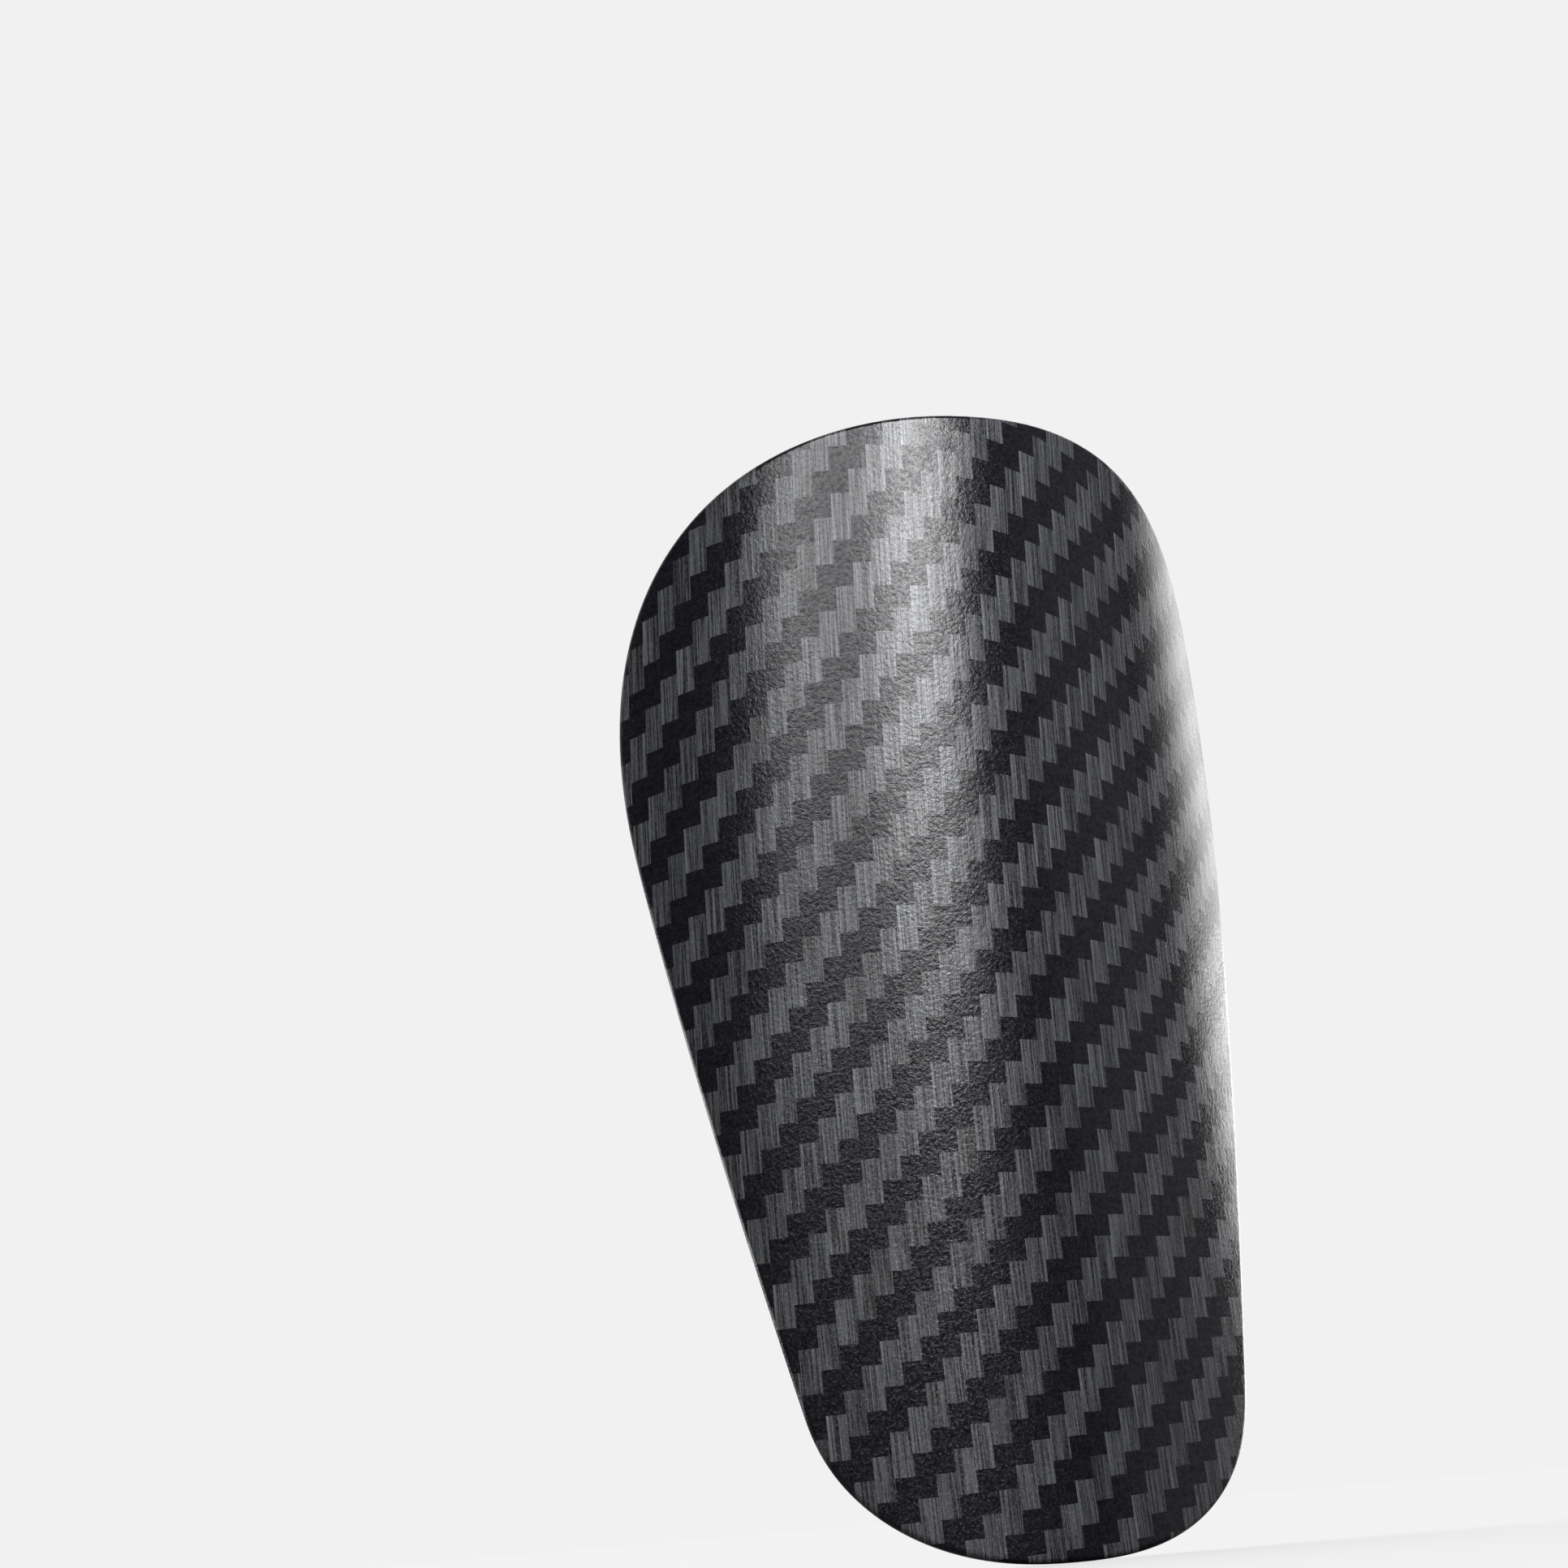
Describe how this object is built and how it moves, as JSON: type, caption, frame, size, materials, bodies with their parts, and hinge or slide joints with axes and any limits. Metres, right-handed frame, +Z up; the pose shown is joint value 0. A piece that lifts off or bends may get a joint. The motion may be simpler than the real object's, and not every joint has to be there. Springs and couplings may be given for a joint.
{
  "type": "shin guard",
  "caption": "Curved slip-in shin guard with a rounded knee end and a narrower ankle end: a hard shell wrapped in weave-pattern film, with a bevelled foam pad bonded inside.",
  "frame": {"origin": "on the ground under the middle of the guard's box, with the guard held upright on its ankle end; it doesn't stay upright by itself", "axes": "+Z up the leg from the ankle end to the knee end, -Y out of the bulging front, +Y towards the leg, X across the guard, which is symmetric about X = 0"},
  "size_m": [0.1118, 0.0336, 0.19],
  "materials": {
    "weave_film": "black satin film with a printed twill weave and a fine leather-like grain",
    "shell_plastic": "black moulded plastic, hidden under the film",
    "adhesive": "cloudy double-sided adhesive sheet, hidden under the pad",
    "foam": "black closed-cell EVA foam with a smooth matt skin"
  },
  "bodies": {
    "root": {"carbon_film": "weave_film", "hard_shell": "shell_plastic", "adhesive_sheet": "adhesive", "foam_pad": "foam"}
  },
  "joints": []
}
